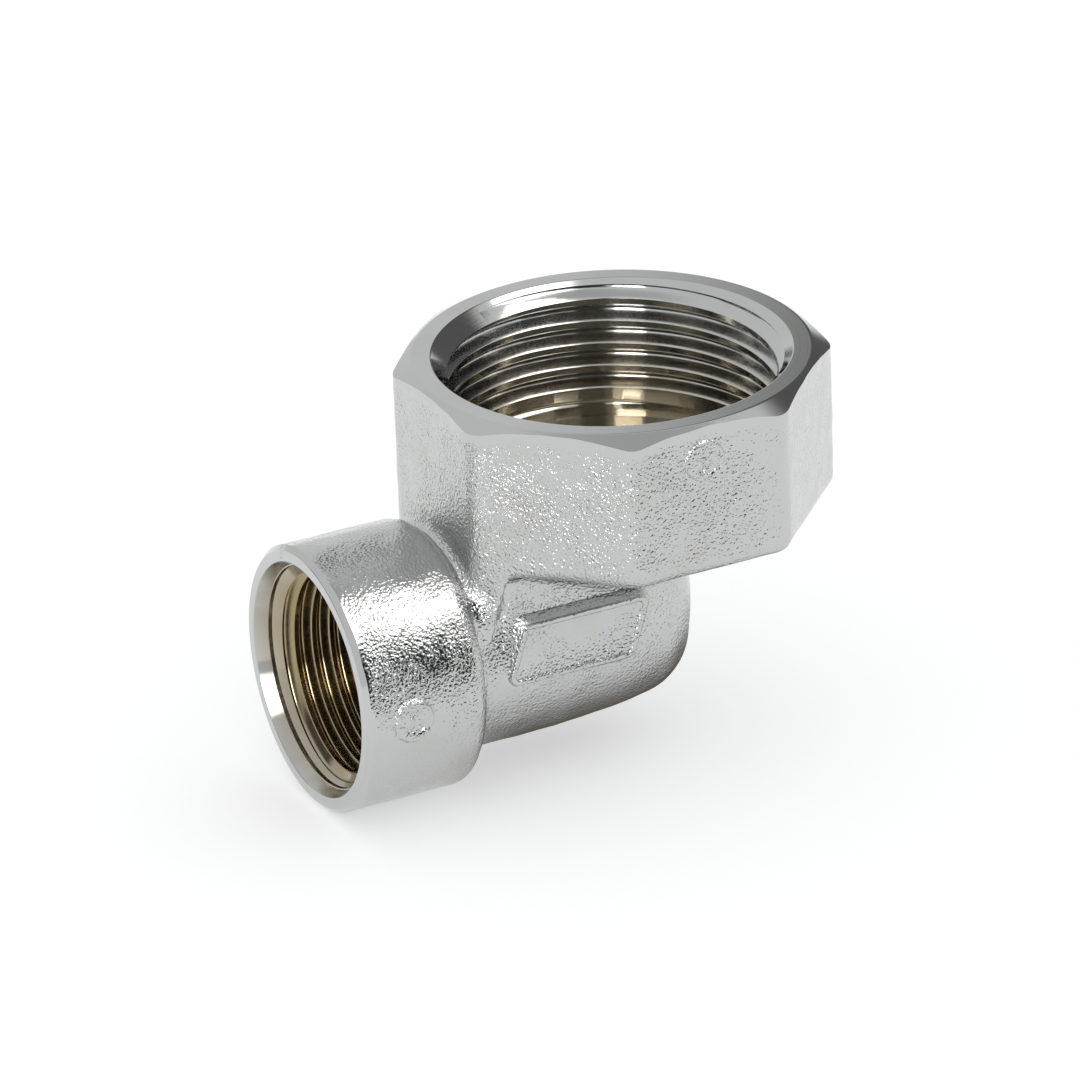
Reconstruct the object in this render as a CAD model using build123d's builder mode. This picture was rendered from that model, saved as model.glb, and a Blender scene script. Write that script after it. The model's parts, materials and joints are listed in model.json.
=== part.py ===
from build123d import *
import math
import os

# Reducing elbow of forged and chromed brass, in one piece: a large threaded port in an octagonal
# collar points up, and a small threaded port in a round collar, the sleeve, points along -X.
# The origin is on the large port's axis, where its thread starts. Lengths are in mm, angles in degrees.

# Large port: a G 1 internal thread, drawn at the radius of its crests
large_thread_r = 15.3
large_thread_length = 11.7
large_lip_r = 16.8
large_core_r = 14.6
large_core_length = 1.8

# Small port: a G 1/2 internal thread, drawn at the radius of its crests
small_thread_r = 9.45
small_thread_length = 10.5
small_lip_r = 11.25
small_step_r = 10.6
small_step_depth = 1.35
small_axis_drop = 25.6
small_mouth_reach = 32.7

# Octagonal collar
collar_sides = 8
across_flats = 38.0
collar_height = 15.3
collar_corner_round = 2.6
collar_foot_round = 1.6
top_ring_r = 18.6
top_chamfer_angle = 30.0

# Bowl that closes the collar's underside, and the round-ended leg that leads down from it
bowl_r = 17.4
bowl_angle = 25.0
leg_r = 7.8
leg_offset = 1.6
leg_end_rise = 2.3

# Sleeve round the small port
sleeve_r = 12.75
sleeve_length = 12.7
sleeve_front_chamfer = 0.5
sleeve_back_round = 1.6

# Neck and heel of the elbow, turned about the small port's axis
neck_r = 9.85
neck_taper_offset = 10.0
heel_r = 9.0
heel_round = 5.0
heel_cap_r = 12.9
heel_reach = 5.6

# Web between the octagonal collar and the sleeve
web_drop = 5.7
web_head_width = 2.5
web_foot_width = 0.8
web_ridge_r = 11.35
web_ridge_turn = 55.0
web_blend = 1.0

# Waterway
waterway_r = 6.2
waterway_offset = 4.0
waterway_end_offset = 4.8
drill_point_angle = 118.0

# Raised pad on the elbow's side, and the marks of the ejector pins
pad_length = 13.15
pad_height = 5.95
pad_slant = 1.95
pad_corner = 0.7
pad_step = 0.25
pad_offset = 9.5
pad_rise = 2.3
pin_mark_r = 2.05
pin_mark_height = 0.12
sleeve_mark_inset = 4.65
collar_mark_drop = 3.15
collar_mark_offset = 0.6

# Levels and places that follow from the sizes above
top_z = large_lip_r - large_thread_r
foot_z = top_z - collar_height
floor_z = -large_thread_length - large_core_length
axis_z = top_z - small_axis_drop
flat_x = across_flats / 2
flat_turn = 180 / collar_sides
corner_x = flat_x / math.cos(math.radians(flat_turn))
bowl_tip_z = foot_z - bowl_r * math.tan(math.radians(bowl_angle))
leg_end_z = axis_z + leg_end_rise
top_chamfer_drop = (corner_x - top_ring_r) * math.tan(math.radians(top_chamfer_angle))
mouth_x = -small_mouth_reach
pad_face_reach = neck_r + pad_step
sleeve_back_x = mouth_x + sleeve_length
neck_blend = sleeve_r - sleeve_back_round - neck_r
heel_cap_x = heel_reach - heel_cap_r
heel_corner_r = heel_r - heel_round
heel_start_x = heel_cap_x + math.sqrt((heel_cap_r - heel_round) ** 2 - heel_corner_r**2)
heel_cap_turn = math.degrees(math.atan2(heel_corner_r, heel_start_x - heel_cap_x))
small_step_x = mouth_x + small_step_depth
small_thread_x = small_step_x + small_step_r - small_thread_r
small_thread_end_x = small_thread_x + small_thread_length
web_foot_z = foot_z - web_drop
drill_point_length = waterway_r / math.tan(math.radians(drill_point_angle / 2))
large_axis = Axis.Z
small_axis = Axis((0, 0, axis_z), (1, 0, 0))
ridge_start_x = sleeve_back_x - neck_blend
ridge_side_y = (web_ridge_r + web_blend) * math.sin(math.radians(web_ridge_turn))
ridge_side_z = (web_ridge_r + web_blend) * math.cos(math.radians(web_ridge_turn))
ridge_touch_turn = math.radians(web_ridge_turn) + math.acos(neck_r / (web_ridge_r + web_blend))
ridge_touch_y = neck_r * math.sin(ridge_touch_turn)
ridge_touch_z = neck_r * math.cos(ridge_touch_turn)

# Octagonal collar with softly rounded corners and foot
with BuildPart() as collar:
    with BuildSketch(Plane.XY.offset(foot_z)):
        RegularPolygon(flat_x, collar_sides, major_radius=False, rotation=flat_turn)
    extrude(amount=collar_height)
    fillet(collar.edges().filter_by(Axis.Z), collar_corner_round)
    fillet(collar.faces().sort_by(Axis.Z)[0].edges(), collar_foot_round)

    # Turned chamfer that scallops the flats
    with BuildSketch(Plane.XZ):
        with BuildLine():
            Polyline(
                (top_ring_r, top_z),
                (corner_x, top_z),
                (corner_x, top_z - top_chamfer_drop),
                close=True,
            )
        make_face()
    revolve(axis=large_axis, mode=Mode.SUBTRACT)

# Web: the octagon runs on below the collar as a wedge
with BuildPart() as wedge:
    with BuildSketch(Plane.XY.offset(web_foot_z)):
        RegularPolygon(flat_x, collar_sides, major_radius=False, rotation=flat_turn)
    extrude(amount=web_drop + collar_foot_round)
    fillet(wedge.edges().filter_by(Axis.Z), collar_corner_round)
    with BuildSketch(Plane.XZ):
        with BuildLine():
            Polyline(
                (-flat_x, web_foot_z),
                (-flat_x + web_foot_width, web_foot_z),
                (-flat_x + web_head_width, foot_z + collar_foot_round),
                (-flat_x, foot_z + collar_foot_round),
                close=True,
            )
        make_face()
    extrude(amount=flat_x, both=True, mode=Mode.INTERSECT)

# A ridge fills the gap between wedge and sleeve. It curves up to the wedge, and its sides run down to
# touch the neck.
with BuildPart() as ridge:
    with BuildSketch(Plane.XZ):
        with BuildLine():
            Polyline(
                (ridge_start_x, axis_z + web_ridge_r),
                (ridge_start_x, axis_z),
                (-flat_x + web_foot_width, axis_z),
                (-flat_x + web_foot_width, axis_z + web_ridge_r + web_blend),
                (-flat_x, axis_z + web_ridge_r + web_blend),
            )
            RadiusArc(
                (-flat_x, axis_z + web_ridge_r + web_blend),
                (-flat_x - web_blend, axis_z + web_ridge_r),
                web_blend,
            )
            Line((-flat_x - web_blend, axis_z + web_ridge_r), (ridge_start_x, axis_z + web_ridge_r))
        make_face()
    revolve(axis=small_axis)
    with BuildSketch(Plane(origin=(ridge_start_x, 0, axis_z), x_dir=(0, 1, 0), z_dir=(1, 0, 0))):
        with BuildLine():
            CenterArc((0, 0), web_ridge_r + web_blend, 90 - web_ridge_turn, 2 * web_ridge_turn)
            Polyline(
                (-ridge_side_y, ridge_side_z),
                (-ridge_touch_y, ridge_touch_z),
                (0, 0),
                (ridge_touch_y, ridge_touch_z),
                (ridge_side_y, ridge_side_z),
            )
        make_face()
    extrude(amount=neck_blend + web_blend + web_foot_width, mode=Mode.INTERSECT)

with BuildPart() as elbow_body:
    # Neck and heel
    with BuildSketch(Plane.XZ):
        with BuildLine():
            Polyline(
                (heel_reach, axis_z),
                (ridge_start_x, axis_z),
                (ridge_start_x, axis_z - neck_r),
                (-neck_taper_offset, axis_z - neck_r),
                (heel_start_x, axis_z - heel_r),
            )
            CenterArc((heel_start_x, axis_z - heel_corner_r), heel_round, -90, 90 - heel_cap_turn)
            CenterArc((heel_cap_x, axis_z), heel_cap_r, -heel_cap_turn, heel_cap_turn)
        make_face()
    revolve(axis=small_axis)

    # Bowl under the collar
    with BuildSketch(Plane.XZ):
        with BuildLine():
            Polyline(
                (0, foot_z + collar_foot_round),
                (bowl_r, foot_z + collar_foot_round),
                (bowl_r, foot_z),
                (0, bowl_tip_z),
                close=True,
            )
        make_face()
    revolve(axis=large_axis)

    # Leg, which ends in a half ball inside the heel
    with Locations((-leg_offset, 0, leg_end_z)):
        Cylinder(leg_r, foot_z - leg_end_z, align=(Align.CENTER, Align.CENTER, Align.MIN))
        Sphere(leg_r)

    # Sleeve, which runs into the neck through a fillet
    with BuildSketch(Plane.XZ):
        with BuildLine():
            Polyline(
                (sleeve_back_x + neck_blend, axis_z - neck_r),
                (sleeve_back_x + neck_blend, axis_z),
                (mouth_x, axis_z),
                (mouth_x, axis_z - sleeve_r + sleeve_front_chamfer),
                (mouth_x + sleeve_front_chamfer, axis_z - sleeve_r),
                (sleeve_back_x - sleeve_back_round, axis_z - sleeve_r),
            )
            RadiusArc(
                (sleeve_back_x - sleeve_back_round, axis_z - sleeve_r),
                (sleeve_back_x, axis_z - sleeve_r + sleeve_back_round),
                -sleeve_back_round,
            )
            RadiusArc(
                (sleeve_back_x, axis_z - sleeve_r + sleeve_back_round),
                (sleeve_back_x + neck_blend, axis_z - neck_r),
                neck_blend,
            )
        make_face()
    revolve(axis=small_axis)
    add([collar.part, wedge.part, ridge.part])

    # Pad: a flat, slanted plate that stands out of the neck's round side
    with BuildSketch(Plane.XZ.offset(pad_face_reach)):
        with Locations((-pad_offset, axis_z + pad_rise)):
            Polygon(
                (-pad_length / 2 - pad_slant / 2, -pad_height / 2),
                (pad_length / 2 - pad_slant / 2, -pad_height / 2),
                (pad_length / 2 + pad_slant / 2, pad_height / 2),
                (-pad_length / 2 + pad_slant / 2, pad_height / 2),
                align=None,
            )
        pad_corners = vertices()
        fillet(pad_corners, pad_corner)
    extrude(amount=-pad_face_reach / 2)

    # Marks of the ejector pins: low round flats on the side where the pad is
    with BuildSketch(Plane.XZ.offset(sleeve_r + pin_mark_height)):
        with Locations((mouth_x + sleeve_mark_inset, axis_z)):
            Circle(pin_mark_r)
    extrude(amount=small_lip_r - sleeve_r)
    with BuildSketch(Plane.XZ.offset(flat_x + pin_mark_height)):
        with Locations((-collar_mark_offset, top_z - collar_mark_drop)):
            Circle(pin_mark_r)
    extrude(amount=large_lip_r - flat_x)

    # Large port: lead-in, thread wall and plain core down to the floor
    with BuildSketch(Plane.XZ):
        with BuildLine():
            Polyline(
                (0, top_z),
                (large_lip_r, top_z),
                (large_thread_r, 0),
                (large_thread_r, -large_thread_length),
                (large_core_r, -large_thread_length),
                (large_core_r, floor_z),
                (0, floor_z),
                close=True,
            )
        make_face()
    revolve(axis=large_axis, mode=Mode.SUBTRACT)

    # Small port: lead-in, step and thread wall
    with BuildSketch(Plane.XZ):
        with BuildLine():
            Polyline(
                (mouth_x, axis_z),
                (mouth_x, axis_z + small_lip_r),
                (small_step_x, axis_z + small_step_r),
                (small_thread_x, axis_z + small_thread_r),
                (small_thread_end_x, axis_z + small_thread_r),
                (small_thread_end_x, axis_z),
                close=True,
            )
        make_face()
    revolve(axis=small_axis, mode=Mode.SUBTRACT)

    # Waterway: a drilled level bore, met by a bore from the large port's floor
    with BuildSketch(Plane.XZ):
        with BuildLine():
            Polyline(
                (drill_point_length - waterway_end_offset, axis_z),
                (small_thread_end_x, axis_z),
                (small_thread_end_x, axis_z + waterway_r),
                (-waterway_end_offset, axis_z + waterway_r),
                close=True,
            )
        make_face()
    revolve(axis=small_axis, mode=Mode.SUBTRACT)
    with BuildSketch(Plane.XY.offset(axis_z)):
        with Locations((-waterway_offset, 0)):
            Circle(waterway_r)
    extrude(amount=floor_z - axis_z, mode=Mode.SUBTRACT)

elbow_body.part.label = "elbow_body"
os.makedirs("parts", exist_ok=True)
export_step(elbow_body.part, "parts/elbow_body.step")
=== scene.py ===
import json
import math

import bpy
import numpy as np
from mathutils import Matrix, Vector


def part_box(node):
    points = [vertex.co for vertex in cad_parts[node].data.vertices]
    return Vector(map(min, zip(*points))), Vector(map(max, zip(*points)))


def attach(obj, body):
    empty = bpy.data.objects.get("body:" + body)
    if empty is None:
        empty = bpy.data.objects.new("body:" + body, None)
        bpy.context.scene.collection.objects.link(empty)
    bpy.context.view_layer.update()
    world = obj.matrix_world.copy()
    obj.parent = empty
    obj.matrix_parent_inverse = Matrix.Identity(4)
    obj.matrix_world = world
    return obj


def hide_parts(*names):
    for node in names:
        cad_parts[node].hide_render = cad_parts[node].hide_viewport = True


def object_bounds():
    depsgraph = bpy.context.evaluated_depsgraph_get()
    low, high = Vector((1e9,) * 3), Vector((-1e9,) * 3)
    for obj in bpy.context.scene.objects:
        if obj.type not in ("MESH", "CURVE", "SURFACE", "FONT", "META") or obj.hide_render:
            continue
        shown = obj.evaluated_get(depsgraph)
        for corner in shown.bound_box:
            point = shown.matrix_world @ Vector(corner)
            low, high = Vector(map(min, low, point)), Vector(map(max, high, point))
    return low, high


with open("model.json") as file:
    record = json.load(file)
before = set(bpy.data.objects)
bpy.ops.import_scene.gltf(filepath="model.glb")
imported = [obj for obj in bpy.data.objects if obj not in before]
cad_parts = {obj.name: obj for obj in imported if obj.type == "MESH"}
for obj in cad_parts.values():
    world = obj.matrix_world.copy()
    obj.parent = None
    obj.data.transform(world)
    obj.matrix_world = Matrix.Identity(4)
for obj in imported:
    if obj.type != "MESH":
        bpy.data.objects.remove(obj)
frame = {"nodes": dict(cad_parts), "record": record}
cadLow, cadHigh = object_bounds()
print("frame loaded:", ", ".join(sorted(frame["nodes"])))

# Lengths are in millimetres while the fitting is worked out, and in metres once it is a mesh
mm = 0.001
tiny = 1e-6
nodeLow, nodeHigh = (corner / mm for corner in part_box("elbow_body"))
mounts = {mount["name"]: mount for mount in frame["record"]["mounts"]}
largePort = mounts["large_port"]
smallPort = mounts["small_port"]
smallAxisZ = smallPort["pos_m"][2] / mm
mouthX = nodeLow.x
topZ = nodeHigh.z
turningSpare = 1.5  # how far the blank reaches past a face that is turned later
overlap = 3  # how far one form of the blank reaches into the next


def roundJoin(a, b, radius):
    # union of two fields with a fillet of that radius where they meet
    return np.maximum(radius, np.minimum(a, b)) - np.hypot(np.maximum(radius - a, 0), np.maximum(radius - b, 0))


def roundCut(a, b, radius):
    # intersection of two fields with the edge between them rounded
    outside = np.hypot(np.maximum(a + radius, 0), np.maximum(b + radius, 0))
    return np.minimum(np.maximum(a + radius, b + radius), 0) + outside - radius


def smoothStep(value, low, high):
    t = np.clip((value - low) / (high - low), 0, 1)
    return t * t * (3 - 2 * t)


# Octagonal collar, whose foot drops into the web on the sleeve's side
collar = {
    "apothem": nodeHigh.y,
    "sides": 8,
    "height": 15.3,
    "cornerRound": 2.6,
    "footRound": 1.6,
    "ringRadius": 18.6,
    "ringEase": 0.5,
    "chamferAngle": 30.0,
}
web = {
    "drop": 5.7,
    "headX": -16.2,
    "footX": -18.1,
    "footSlope": 1.2,
    "edgeRound": 0.9,
    "edgeFromX": -16.5,
    "edgeToX": -13.5,
    "ridgeRadius": 11.35,
    "ridgeInset": 0.6,  # how deep in the neck the ridge starts
    "ridgeOffset": 0.3,
    "ridgeHalf": 1.4,
    "ridgeRise": (0.2, 0.75),  # sine of the angle over which the ridge grows
    "ridgeBlend": 0.6,
    "blend": 1.3,
}
footZ = topZ - collar["height"]


def collarField(x, y, z):
    # all the flats are folded onto the one that faces +X
    sector = 2 * math.pi / collar["sides"]
    angle = np.arctan2(y, x)
    folded = angle - np.round(angle / sector) * sector
    reach = np.hypot(x, y)
    along = reach * np.cos(folded)
    across = np.abs(reach * np.sin(folded))
    inner = collar["apothem"] - collar["cornerRound"]
    half = inner * math.tan(sector / 2)
    side = np.where(across > half, np.hypot(along - inner, across - half), along - inner) - collar["cornerRound"]
    blendX = 1 - smoothStep(x, web["footX"], web["headX"])
    bottom = footZ - web["drop"] * blendX
    # the foot's slope turns the height above it into a distance from it
    slope = web["drop"] * web["footSlope"] / (web["headX"] - web["footX"]) * 4 * blendX * (1 - blendX)
    below = (bottom - z) / np.sqrt(1 + slope**2)
    onWeb = 1 - smoothStep(x, web["edgeFromX"], web["edgeToX"])
    edge = collar["footRound"] + (web["edgeRound"] - collar["footRound"]) * onWeb
    return np.maximum(roundCut(side, below, edge), z - topZ - turningSpare)


# Shallow cone under the collar, the round-ended leg that leads down from it into the elbow, and the upright
# shoulders that carry the web's sides down to the neck
bowl = {"radius": 17.4, "angle": 25.0, "blend": 0.5}
leg = {"radius": 7.8, "offset": 1.6, "endRise": 2.3, "blend": 1.2}
shoulder = {"halfWidth": 9.15, "startX": -17.2, "startRound": 1.6, "endX": -4.2, "headRise": 0.5, "blend": 1.0}


def bowlField(x, y, z):
    tilt = math.radians(bowl["angle"])
    reach = np.hypot(x, y)
    cone = (reach - bowl["radius"]) * math.sin(tilt) - (z - footZ) * math.cos(tilt)
    return np.maximum(np.maximum(cone, reach - bowl["radius"]), z - footZ - overlap)


def legField(x, y, z):
    drop = np.minimum(z - smallAxisZ - leg["endRise"], 0)
    shaft = np.sqrt((x + leg["offset"]) ** 2 + y**2 + drop**2) - leg["radius"]
    return np.maximum(shaft, z - footZ - overlap)


def shoulderField(x, y, z):
    wall = np.sqrt(np.maximum(x - shoulder["endX"], 0) ** 2 + y**2 + np.minimum(z - smallAxisZ, 0) ** 2)
    started = roundCut(wall - shoulder["halfWidth"], shoulder["startX"] - x, shoulder["startRound"])
    return np.maximum(started, z - footZ - shoulder["headRise"])


# Neck and heel, turned about the small port's axis
neck = {
    "radius": 9.85,
    "taperStart": -10.0,
    "heelRadius": 9.0,
    "heelRound": 5.0,
    "heelCap": 12.9,
    "heelReach": 5.6,
}


def neckField(x, reach):
    heelInner = neck["heelRadius"] - neck["heelRound"]
    capX = neck["heelReach"] - neck["heelCap"]
    cornerX = capX + math.sqrt((neck["heelCap"] - neck["heelRound"]) ** 2 - heelInner**2)
    share = np.clip((x - neck["taperStart"]) / (cornerX - neck["taperStart"]), 0, 1)
    wall = reach - neck["radius"] - (neck["heelRadius"] - neck["radius"]) * share
    corner = np.hypot(x - cornerX, reach - heelInner) - neck["heelRound"]
    cap = np.hypot(x - capX, reach) - neck["heelCap"]
    turn = math.atan2(heelInner, cornerX - capX)
    inCap = np.arctan2(reach, x - capX) < turn
    heel = np.where(inCap, cap, corner)
    body = np.where(x < cornerX, wall, heel)
    return np.maximum(body, sleeveBackX - overlap - x)


# Sleeve round the small port
sleeve = {
    "radius": smallAxisZ - nodeLow.z,
    "length": 12.7,
    "frontChamfer": 0.5,
    "backRound": 1.6,
    "blend": 1.3,
}
sleeveBackX = mouthX + sleeve["length"]


def sleeveField(x, reach):
    ring = roundCut(reach - sleeve["radius"], x - sleeveBackX, sleeve["backRound"])
    return np.maximum(ring, mouthX - turningSpare - x)


def ridgeField(x, z, reach):
    # filler between the sleeve's back and the collar, which runs out down both sides
    lift = smoothStep((z - smallAxisZ) / np.maximum(reach, tiny), *web["ridgeRise"])
    foot = neck["radius"] - web["ridgeInset"]
    radius = foot + (web["ridgeRadius"] - foot) * lift
    return np.maximum(reach - radius, np.abs(x - sleeveBackX - web["ridgeOffset"]) - web["ridgeHalf"])


# Skin that the forging dies leave: soft waves, and a faint seam where they meet
forging = {
    "waveHeight": 0.018,
    "waveLength": 3.2,
    "waveSpread": (0.6, 1.5),
    "waves": 26,
    "seed": 7,
    "seamHeight": 0.05,
    "seamWidth": 0.32,
    "seamFade": 2,
}
waveRandom = np.random.default_rng(forging["seed"])
waveAxes = waveRandom.normal(size=(forging["waves"], 3))
waveAxes *= (2 * math.pi / forging["waveLength"]) / np.linalg.norm(waveAxes, axis=1)[:, None]
waveAxes *= waveRandom.uniform(*forging["waveSpread"], forging["waves"])[:, None]
wavePhases = waveRandom.uniform(0, 2 * math.pi, forging["waves"])


def waviness(x, y, z):
    total = np.zeros_like(x)
    for axis, phase in zip(waveAxes, wavePhases):
        total += np.sin(axis[0] * x + axis[1] * y + axis[2] * z + phase)
    return total * forging["waveHeight"] * math.sqrt(2 / forging["waves"])


def forgedField(points):
    x, y, z = points[:, 0], points[:, 1], points[:, 2]
    reach = np.hypot(y, z - smallAxisZ)
    upper = roundJoin(collarField(x, y, z), bowlField(x, y, z), bowl["blend"])
    upper = roundJoin(upper, legField(x, y, z), leg["blend"])
    lower = roundJoin(neckField(x, reach), shoulderField(x, y, z), shoulder["blend"])
    lower = roundJoin(lower, sleeveField(x, reach), sleeve["blend"])
    lower = roundJoin(lower, ridgeField(x, z, reach), web["ridgeBlend"])
    whole = roundJoin(upper, lower, web["blend"])
    seam = forging["seamHeight"] * np.exp(-((y / forging["seamWidth"]) ** 2))
    return whole - waviness(x, y, z) - seam * smoothStep(-z, -footZ, forging["seamFade"] - footZ)


def surfaceNet(field, low, high, step):
    # closed quad mesh where the field is zero: one point for each grid cell that the surface crosses
    counts = [int(math.ceil((h - l) / step)) + 1 for l, h in zip(low, high)]
    axes = [l + step * np.arange(n) for l, n in zip(low, counts)]
    values = np.empty(counts, np.float32)
    for i, x in enumerate(axes[0]):
        y, z = np.meshgrid(axes[1], axes[2], indexing="ij")
        layer = np.column_stack([np.full(y.size, x), y.ravel(), z.ravel()])
        values[i] = field(layer).reshape(y.shape)
    inside = values < 0
    corners = [inside[i:counts[0] - 1 + i, j:counts[1] - 1 + j, k:counts[2] - 1 + k]
               for i in (0, 1) for j in (0, 1) for k in (0, 1)]
    filled = sum(c.astype(np.int8) for c in corners)
    crossed = (filled > 0) & (filled < 8)
    index = np.full(crossed.shape, -1, np.int64)
    index[crossed] = np.arange(crossed.sum())
    points = (np.argwhere(crossed) + 0.5) * step + np.array(low)
    # a quad stands across each edge of the grid that goes through the surface
    quads = []
    for axis in range(3):
        a = np.moveaxis(inside, axis, 0)
        cells = np.moveaxis(index, axis, 0)
        change = a[:-1, 1:-1, 1:-1] != a[1:, 1:-1, 1:-1]
        i, j, k = np.nonzero(change)
        ring = np.column_stack([cells[i, j, k], cells[i, j + 1, k], cells[i, j + 1, k + 1], cells[i, j, k + 1]])
        leaving = a[:-1, 1:-1, 1:-1][change]
        ring[~leaving] = ring[~leaving][:, ::-1]
        if axis == 1:  # with this axis in front the grid is mirrored
            ring = ring[:, ::-1]
        quads.append(ring)
    return settle(field, points, step), np.vstack(quads)


def settle(field, points, step):
    # moves the points onto the surface along the field's own slope
    nudge, rounds, leastSlope = 0.02, 5, 0.1
    for _ in range(rounds):
        slope = np.empty_like(points)
        for axis in range(3):
            shift = np.zeros(3)
            shift[axis] = nudge
            slope[:, axis] = (field(points + shift) - field(points - shift)) / (2 * nudge)
        size = np.maximum((slope**2).sum(1), leastSlope)
        move = -slope * (field(points) / size)[:, None]
        length = np.linalg.norm(move, axis=1)[:, None]
        points = points + move * np.minimum(1, step / np.maximum(length, tiny))
    return points


# Finishes of the elbow: the forged skin, and at each port the turned face and the bore
finishNames = ("forgedChrome", "topChrome", "largeBoreChrome", "mouthChrome", "smallBoreChrome")
finishes = [bpy.data.materials.new(name) for name in finishNames]
forgedSkin, topFace, largeBore, mouthFace, smallBore = range(len(finishNames))


def makeMesh(name, points, faces, finish=forgedSkin):
    # points in millimetres; the object is in metres, in the frame's own place
    mesh = bpy.data.meshes.new(name)
    mesh.from_pydata((np.asarray(points, float) * mm).tolist(), [], [list(f) for f in faces])
    mesh.update()
    piece = bpy.data.objects.new(name, mesh)
    bpy.context.scene.collection.objects.link(piece)
    for finishMaterial in finishes:
        mesh.materials.append(finishMaterial)
    mesh.polygons.foreach_set("material_index", np.zeros(len(mesh.polygons), np.int32) + np.array(finish, np.int32))
    return piece


def laidAlongX(points):
    # height runs along X, and the turn goes from -Z to +Y
    return points[:, [2, 1, 0]] * np.array([1, 1, -1])


def lathe(name, profile, centre, alongX, boreRadius, segments=256):
    # closed solid turned from (radius, height) points; height runs along Z, or along X from the mouth inwards.
    # What it leaves within boreRadius has the finish of a bore, the rest that of a turned face.
    faceFinish, boreFinish = (mouthFace, smallBore) if alongX else (topFace, largeBore)
    tolerance = 0.01
    rings = []
    for radius, height in profile:
        if radius < tiny:
            rings.append([(0.0, 0.0, height)])
        else:
            rings.append([(radius * math.cos(2 * math.pi * s / segments),
                           radius * math.sin(2 * math.pi * s / segments), height) for s in range(segments)])
    points, starts = [], []
    for ring in rings:
        starts.append(len(points))
        points += ring
    faces, finish = [], []
    for i in range(len(rings) - 1):
        a, b = starts[i], starts[i + 1]
        inBore = max(profile[i][0], profile[i + 1][0]) < boreRadius + tolerance
        finish += [boreFinish if inBore else faceFinish] * segments
        for s in range(segments):
            t = (s + 1) % segments
            if len(rings[i]) == 1:
                faces.append((a, b + t, b + s))
            elif len(rings[i + 1]) == 1:
                faces.append((a + s, a + t, b))
            else:
                faces.append((a + s, a + t, b + t, b + s))
    points = np.array(points)
    if alongX:
        points = laidAlongX(points)
    return makeMesh(name, points + np.array(centre), faces, finish)


# Form that both taps share. Truncation and half width are shares of the pitch; the depths and the clearance are
# in millimetres.
tap = {
    "flankAngle": 27.5,
    "truncation": 0.16,
    "rootRound": 1.5,  # share of the truncation
    "halfWidth": 0.49,
    "places": (0, 0.08, 0.16, 0.28, 0.42, 0.54, 0.62, 0.68, 0.74, 0.8, 0.86, 0.93, 1),  # from the root to the edge
    "fadeTurns": 0.6,
    "fadeDepth": 0.1,
    "easeShare": 0.3,  # how far the crest's rounding is let back
    "clearance": 0.015,
    "coreDepth": 1.2,
}


def threadCutter(name, thread, startHeight, endHeight, alongX, centre, segments=120):
    # helical groove of the thread's V with eased crest edges, which deepens over its first part of a turn
    pitch = thread["pitch"]
    flank = 1 / math.tan(math.radians(tap["flankAngle"]))
    apex = thread["root"] + tap["truncation"] * pitch
    rootRound = tap["truncation"] * pitch / flank * tap["rootRound"]
    halfWidth = pitch * tap["halfWidth"]
    places = tap["places"]
    offsets = [-halfWidth * place for place in places[:0:-1]] + [halfWidth * place for place in places]
    inner = thread["crest"] - tap["coreDepth"]
    level = thread["crest"] - tap["clearance"]
    turns = (endHeight - startHeight) / pitch
    stations = int(round(turns * segments))
    points, faces = [], []
    for i in range(stations + 1):
        angle = 2 * math.pi * i / segments
        height = startHeight + pitch * i / segments
        fade = min(1, i / (segments * tap["fadeTurns"]))
        drop = (1 - fade) * (thread["root"] - thread["crest"] + tap["fadeDepth"])
        for offset in offsets:
            groove = apex - flank * math.hypot(offset, rootRound) - drop
            gap = groove - level
            rounded = (gap + math.hypot(gap, thread["crestEase"])) / 2
            radius = level + rounded - thread["crestEase"] * tap["easeShare"]
            points.append((radius * math.cos(angle), radius * math.sin(angle), height + offset))
        for offset in (halfWidth, -halfWidth):
            points.append((inner * math.cos(angle), inner * math.sin(angle), height + offset))
    ring = len(offsets) + 2
    for i in range(stations):
        for k in range(ring):
            m = (k + 1) % ring
            faces.append((i * ring + k, (i + 1) * ring + k, (i + 1) * ring + m, i * ring + m))
    faces.append(list(range(ring)))
    faces.append(list(range(stations * ring, (stations + 1) * ring))[::-1])
    points = np.array(points)
    if alongX:
        points = laidAlongX(points)
    return makeMesh(name, points + np.array(centre), faces, smallBore if alongX else largeBore)


def faceOutward(piece):
    # a volume below zero means that the faces look inwards
    mesh = piece.data
    points = np.empty(len(mesh.vertices) * 3)
    mesh.vertices.foreach_get("co", points)
    points = points.reshape(-1, 3)
    mesh.calc_loop_triangles()
    triangles = np.empty(len(mesh.loop_triangles) * 3, np.int64)
    mesh.loop_triangles.foreach_get("vertices", triangles)
    a, b, c = points[triangles.reshape(-1, 3)].transpose(1, 0, 2)
    if (a * np.cross(b, c)).sum() < 0:
        mesh.flip_normals()


def combine(piece, other, operation):
    # the other piece is cut out of this one or joined to it, and goes away
    faceOutward(other)
    boolean = piece.modifiers.new("combine", "BOOLEAN")
    boolean.operation = operation
    boolean.solver = "MANIFOLD"
    boolean.object = other
    graph = bpy.context.evaluated_depsgraph_get()
    result = bpy.data.meshes.new_from_object(piece.evaluated_get(graph))
    piece.modifiers.remove(boolean)
    old = piece.data
    piece.data = result
    bpy.data.meshes.remove(old)
    tool = other.data
    bpy.data.objects.remove(other)
    bpy.data.meshes.remove(tool)


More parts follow.
